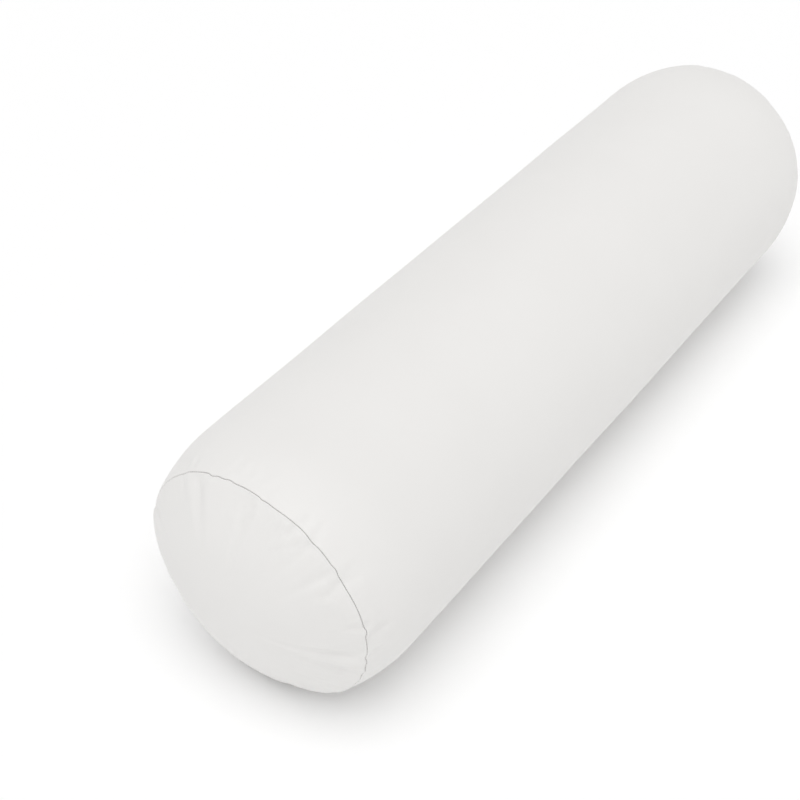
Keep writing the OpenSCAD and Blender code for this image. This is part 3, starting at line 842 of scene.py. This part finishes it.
for name, node in (("wadding_round_core", "fibre_wrap"),
                   ("wadding_plain_end", "fibre_pad_plain_end"),
                   ("wadding_zipped_end", "fibre_pad_zipped_end")):
    wadding_piece(name, node)


# ---- Stitches ----

CROSS_STITCH = 2.2 * MM
SEAM_STITCH_DEPTH = 0.42 * MM
TOP_STITCH = 2.4 * MM
TOP_STITCH_PROUD = 0.35 * THREAD_R
FOLD_TO_STITCH = 2 * MM


def stitch_angles(radius, start, stop):
    """The angles of a row of stitches round an end, half a pitch in from both of its ends."""
    count = int((stop - start) * radius / STITCH_PITCH)
    return start + (stop - start) * (np.arange(count) + 0.5) / count


def seam_stitches(name, end, theta, node):
    """Thread that crosses from one turned-in cloth to the other, down in the seam."""
    depth = -SEAM_STITCH_DEPTH
    middle = end.in_seam(np.zeros_like(theta), depth, theta)
    to_dome = end.in_seam(np.full_like(theta, MM), depth, theta) - middle
    capsule_piece(name, middle, to_dome, CROSS_STITCH, node)


def side_stitches(name, form, angle, node):
    """Thread across the lengthwise seam."""
    reach = form.straight - STITCH_PITCH
    x = np.arange(-reach, reach, STITCH_PITCH)
    r = form.radius - SEAM_STITCH_DEPTH + lumps(form, x, angle)
    theta = np.full_like(x, angle)
    middle = in_space(form, x, r, theta)
    round_wall = in_space(form, x, r, theta + NUDGE) - middle
    capsule_piece(name, middle, round_wall, CROSS_STITCH, node)


def top_stitches(name, part, node):
    """The row of stitches that shows beside the zip and holds its tape."""
    theta = stitch_angles(cover.seam_r, ZIP_FROM, ZIP_TO)
    back = np.full_like(theta, ZIP_GAP / 2 + FOLD_TO_STITCH)
    lie = -TOP_STITCH_PROUD
    middle = zipped_end.on_cloth(part, back, lie, theta)
    along = zipped_end.on_cloth(part, back, lie, theta + NUDGE) - middle
    inward = zipped_end.on_cloth(part, back, lie + MM, theta) - middle
    inward /= np.linalg.norm(inward, axis=1, keepdims=True)
    capsule_piece(name, middle, along, TOP_STITCH, node, sink=inward)


whole_turn = stitch_angles(cover.seam_r, 0, TAU)
sewn_turn = stitch_angles(cover.seam_r, ZIP_TO + SEWN_MARGIN, ZIP_FROM + TAU - SEWN_MARGIN)
casing_turn = stitch_angles(casing.seam_r, 0, TAU)
seam_stitches("thread_plain_end", plain_end, whole_turn, "seam_stitches_plain_end")
seam_stitches("thread_zipped_end", zipped_end, sewn_turn, "seam_stitches_zipped_end")
side_stitches("thread_side_seam", cover, COVER_SEAM_ANGLE, "seam_stitches_side")
top_stitches("thread_tape_on_side_wall", "wall", "zip_stitches_tube_side")
top_stitches("thread_tape_on_end", "dome", "zip_stitches_end_side")
seam_stitches("thread_casing_plain_end", casing_ends[0], casing_turn, "liner_stitches_plain_end")
seam_stitches("thread_casing_zipped_end", casing_ends[1], casing_turn, "liner_stitches_zipped_end")
side_stitches("thread_casing_side", casing, CASING_SEAM_ANGLE, "liner_stitches_side")


# ---- Materials ----

# Where a Mix node has its two colours and the colour that it gives.
MIX_FROM, MIX_TO, MIX_RESULT = 6, 7, 2


class Shader:
    """A node material built round one Principled shader."""

    def __init__(self, name, **values):
        self.material = bpy.data.materials.new(name)
        self.material.use_nodes = True
        self.tree = self.material.node_tree
        self.main = self.tree.nodes["Principled BSDF"]
        for key, value in values.items():
            self.main.inputs[key.replace("_", " ").title().replace("Ior", "IOR")].default_value = value

    def add(self, kind, **values):
        node = self.tree.nodes.new(kind)
        for key, value in values.items():
            setattr(node, key, value)
        return node

    def link(self, source, target):
        self.tree.links.new(source, target)

    def maths(self, operation, a, b=None):
        node = self.add("ShaderNodeMath", operation=operation)
        for socket, value in zip(node.inputs, (a, b)):
            if value is None:
                continue
            if isinstance(value, (int, float)):
                socket.default_value = value
            else:
                self.link(value, socket)
        return node.outputs[0]

    def place(self, kind="Object"):
        """Coordinates: on the object in metres, or on the flat cut with kind UV."""
        return self.add("ShaderNodeTexCoord").outputs[kind]

    def noise(self, coordinates, size, detail=3.0, roughness=0.55):
        """Soft noise whose blotches are about size metres across."""
        node = self.add("ShaderNodeTexNoise")
        node.inputs["Scale"].default_value = 1 / size
        node.inputs["Detail"].default_value = detail
        node.inputs["Roughness"].default_value = roughness
        self.link(coordinates, node.inputs["Vector"])
        return node.outputs["Fac"]

    def spots(self, coordinates, size):
        """Cells about size metres across, dark in their middles."""
        node = self.add("ShaderNodeTexVoronoi")
        node.inputs["Scale"].default_value = 1 / size
        self.link(coordinates, node.inputs["Vector"])
        return node.outputs["Distance"]

    def weave(self, coordinates, pitch, slant=0.0):
        """Threads over and under each other; slant turns plain weave into a twill."""
        parts = self.add("ShaderNodeSeparateXYZ")
        self.link(coordinates, parts.inputs[0])
        shifted = self.maths("ADD", parts.outputs[0], self.maths("MULTIPLY", parts.outputs[1], slant))
        warp = self.maths("SINE", self.maths("MULTIPLY", shifted, TAU / pitch))
        weft = self.maths("SINE", self.maths("MULTIPLY", parts.outputs[1], TAU / pitch))
        return self.maths("MULTIPLY", warp, weft)

    def bump(self, layers):
        """Stacks heights, each (height, metres high), into the shader's normal."""
        normal = None
        for height, distance in layers:
            node = self.add("ShaderNodeBump")
            node.inputs["Strength"].default_value = 1.0
            node.inputs["Distance"].default_value = distance
            self.link(height, node.inputs["Height"])
            if normal is not None:
                self.link(normal, node.inputs["Normal"])
            normal = node.outputs["Normal"]
        self.link(normal, self.main.inputs["Normal"])

    def shade(self, factor, dark, light):
        """Colour that varies a little between two tints."""
        node = self.add("ShaderNodeMix", data_type="RGBA")
        node.inputs[MIX_FROM].default_value = (*dark, 1)
        node.inputs[MIX_TO].default_value = (*light, 1)
        self.link(factor, node.inputs[0])
        self.link(node.outputs[MIX_RESULT], self.main.inputs["Base Color"])

    def rough(self, factor, low, high):
        """Roughness that varies between two values."""
        node = self.add("ShaderNodeMapRange")
        node.inputs["To Min"].default_value = low
        node.inputs["To Max"].default_value = high
        self.link(factor, node.inputs["Value"])
        self.link(node.outputs["Result"], self.main.inputs["Roughness"])


def cover_cloth():
    cloth = Shader("cover_cloth", sheen_weight=0.12, sheen_roughness=0.45, specular_ior_level=0.3)
    cut, place = cloth.place("UV"), cloth.place()
    cloth.shade(cloth.noise(place, 50 * MM, 2.0), (0.822, 0.811, 0.795), (0.846, 0.836, 0.821))
    cloth.rough(cloth.noise(place, 12 * MM, 4.0), 0.50, 0.62)
    cloth.bump([
        (cloth.weave(cut, 0.45 * MM), 0.008 * MM),
        (cloth.noise(place, 0.8 * MM, 2.0), 0.012 * MM),
        (cloth.noise(place, 30 * MM, 2.0), 0.25 * MM),
    ])
    return cloth.material


def casing_cloth():
    cloth = Shader("casing_cloth", sheen_weight=0.05)
    place = cloth.place()
    cloth.shade(cloth.noise(place, 4 * MM, 5.0), (0.78, 0.77, 0.73), (0.86, 0.85, 0.82))
    cloth.rough(cloth.noise(place, 6 * MM), 0.75, 0.9)
    cloth.bump([(cloth.spots(place, 1.4 * MM), 0.05 * MM), (cloth.noise(place, 0.5 * MM), 0.03 * MM)])
    return cloth.material


def thread():
    yarn = Shader("thread", sheen_weight=0.2)
    place = yarn.place()
    yarn.shade(yarn.noise(place, 0.3 * MM), (0.62, 0.61, 0.60), (0.72, 0.71, 0.70))
    yarn.rough(yarn.noise(place, 0.5 * MM), 0.5, 0.7)
    yarn.bump([(yarn.noise(place, 0.12 * MM, 1.0), 0.02 * MM)])
    return yarn.material


def zip_tape():
    tape = Shader("zip_tape", sheen_weight=0.1)
    cut, place = tape.place("UV"), tape.place()
    tape.shade(tape.noise(place, 3 * MM), (0.80, 0.80, 0.79), (0.85, 0.85, 0.84))
    tape.rough(tape.noise(place, 4 * MM), 0.6, 0.75)
    tape.bump([(tape.weave(cut, 0.7 * MM, slant=1.0), 0.03 * MM)])
    return tape.material


def coil_filament():
    plastic = Shader("coil_filament", specular_ior_level=0.5)
    place = plastic.place()
    plastic.shade(plastic.noise(place, 2 * MM), (0.83, 0.83, 0.82), (0.87, 0.87, 0.86))
    plastic.rough(plastic.noise(place, 0.5 * MM), 0.22, 0.34)
    plastic.bump([(plastic.noise(place, 0.3 * MM), 0.01 * MM)])
    return plastic.material


def enamel():
    paint = Shader("white_enamel", coat_weight=0.5, coat_roughness=0.12, specular_ior_level=0.55)
    place = paint.place()
    paint.shade(paint.noise(place, 4 * MM), (0.84, 0.84, 0.83), (0.88, 0.88, 0.87))
    paint.rough(paint.noise(place, 3 * MM), 0.22, 0.34)
    paint.bump([(paint.noise(place, 1.5 * MM, 1.0), 0.0015 * MM)])
    return paint.material


def label_cloth():
    satin = Shader("label_satin", sheen_weight=0.2, anisotropic=0.4)
    cut, place = satin.place("UV"), satin.place()
    satin.shade(satin.noise(place, 4 * MM), (0.86, 0.86, 0.85), (0.9, 0.9, 0.89))
    satin.rough(satin.noise(place, 3 * MM), 0.35, 0.45)
    satin.bump([(satin.weave(cut, 0.3 * MM, slant=0.25), 0.008 * MM)])
    return satin.material


def fibre():
    wadding = Shader("fibre_wadding", sheen_weight=0.4, sheen_roughness=0.6)
    place = wadding.place()
    wadding.shade(wadding.noise(place, 6 * MM, 8.0, 0.7), (0.80, 0.80, 0.79), (0.92, 0.92, 0.91))
    wadding.rough(wadding.noise(place, 4 * MM), 0.85, 0.98)
    wadding.bump([
        (wadding.noise(place, 0.8 * MM, 6.0, 0.75), 0.3 * MM),
        (wadding.noise(place, 12 * MM, 4.0), 1.5 * MM),
    ])
    return wadding.material


def foam():
    core = Shader("foam", specular_ior_level=0.15)
    place = core.place()
    # Painted shade: the colour is darkest in the middle of each cell, where the bump below makes the pore
    # dip.
    core.shade(core.spots(place, 1.1 * MM), (0.62, 0.56, 0.38), (0.90, 0.86, 0.70))
    core.rough(core.noise(place, 3 * MM), 0.88, 1.0)
    core.bump([(core.spots(place, 1.1 * MM), 0.4 * MM)])
    return core.material


MATERIALS = {
    "cover_cloth": cover_cloth(),
    "liner_cloth": casing_cloth(),
    "thread": thread(),
    "zip_tape": zip_tape(),
    "zip_coil": coil_filament(),
    "zip_metal": enamel(),
    "label_cloth": label_cloth(),
    "fibre": fibre(),
    "foam": foam(),
}


def dress(piece, slot):
    """Gives the piece one material, whatever it came with."""
    piece.data.materials.clear()
    piece.data.materials.append(MATERIALS[slot])
    for face in piece.data.polygons:
        face.material_index = 0


for piece in pieces.values():
    dress(piece, piece["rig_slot"])

for row in frame["record"]["subparts"]:
    dress(nodes[row["node"]], row["material_slot"])


# ---- CAD nodes that stay ----

WELD_WITHIN = 0.002 * MM
FLAT_WITHIN = math.radians(1)
SHARP_ANGLE = math.radians(35)


def round_edges(piece, width):
    """Joins a CAD mesh's faces and rounds its sharp edges. Smooth shading would look dented."""
    weld = piece.modifiers.new("weld", "WELD")
    weld.merge_threshold = WELD_WITHIN
    flat = piece.modifiers.new("flat_faces", "DECIMATE")
    flat.decimate_type = "DISSOLVE"
    flat.angle_limit = FLAT_WITHIN
    bevel = piece.modifiers.new("round_edges", "BEVEL")
    bevel.width = width
    bevel.segments = 3
    bevel.limit_method = "ANGLE"
    bevel.angle_limit = SHARP_ANGLE
    for face in piece.data.polygons:
        face.use_smooth = False


for name, width in (("zip_slider", 0.14), ("zip_pull", 0.16), ("zip_top_stops", 0.2),
                    ("zip_bottom_stop", 0.2)):
    round_edges(nodes[name], width * MM)
round_edges(nodes["foam_core"], 1.5 * MM)


# ---- Floor, light and camera ----

FLOOR_HALF = 30.0
FLOOR_DROP = 0.02 * MM


def floor_material():
    paint = Shader("pale_floor", specular_ior_level=0.1, roughness=0.9)
    paint.main.inputs["Base Color"].default_value = (0.99, 0.99, 0.99, 1)
    return paint.material


floor_mesh = bpy.data.meshes.new("floor")
floor_mesh.from_pydata(
    [(x * FLOOR_HALF, y * FLOOR_HALF, -FLOOR_DROP) for x, y in ((-1, -1), (1, -1), (1, 1), (-1, 1))],
    [], [(0, 1, 2, 3)],
)
floor_mesh.materials.append(floor_material())
floor = put_in_scene("floor", floor_mesh)

# The camera's place and lens come from the fit to the pillow's outline in the photo.
HEADING = math.radians(35.93)
LOOK_DOWN = math.radians(41.82)
CAMERA_BACK = 0.8479
CAMERA_LEFT = 0.0724
CAMERA_DOWN = 0.0394
LENS = 63.25
SENSOR_WIDTH = 36
NEAREST_SEEN = 10 * MM
forward = Vector((
    math.cos(HEADING) * math.cos(LOOK_DOWN),
    math.sin(HEADING) * math.cos(LOOK_DOWN),
    -math.sin(LOOK_DOWN),
))
right = Vector((math.sin(HEADING), -math.cos(HEADING), 0))
up = right.cross(forward)

camera_data = bpy.data.cameras.new("camera")
camera_data.sensor_width = SENSOR_WIDTH
camera_data.lens = LENS
camera_data.clip_start = NEAREST_SEEN
camera = put_in_scene("camera", camera_data)
middle_of_pillow = Vector((0, 0, AXIS_Z))
camera.location = (
    middle_of_pillow - CAMERA_BACK * forward - CAMERA_LEFT * right - CAMERA_DOWN * up
)
camera.rotation_euler = Matrix((right, up, -forward)).transposed().to_euler()
bpy.context.scene.camera = camera

SKY = 0.60
HORIZON = 0.98
HORIZON_HEIGHT = 0.15
SUN = 1.32
SUN_ANGLE = math.radians(50)
SUN_FROM = Vector((-0.20, -0.12, 0.97)).normalized()


def studio_world():
    """An even sky that brightens to white at the horizon, so that the floor has no far edge."""
    world = bpy.data.worlds.new("studio")
    world.use_nodes = True
    tree = world.node_tree
    direction = tree.nodes.new("ShaderNodeTexCoord")
    parts = tree.nodes.new("ShaderNodeSeparateXYZ")
    rise = tree.nodes.new("ShaderNodeMapRange")
    rise.interpolation_type = "SMOOTHSTEP"
    rise.inputs["From Max"].default_value = HORIZON_HEIGHT
    rise.inputs["To Min"].default_value = HORIZON
    rise.inputs["To Max"].default_value = SKY
    tree.links.new(direction.outputs["Generated"], parts.inputs[0])
    tree.links.new(parts.outputs["Z"], rise.inputs["Value"])
    tree.links.new(rise.outputs["Result"], tree.nodes["Background"].inputs["Strength"])
    tree.nodes["Background"].inputs["Color"].default_value = (1, 1, 1, 1)
    return world


bpy.context.scene.world = studio_world()

sun_data = bpy.data.lights.new("soft_key", "SUN")
sun_data.energy = SUN
sun_data.angle = SUN_ANGLE
sun = put_in_scene("soft_key", sun_data)
sun.rotation_euler = SUN_FROM.to_track_quat("Z", "Y").to_euler()
bpy.context.scene.view_settings.view_transform = "Standard"
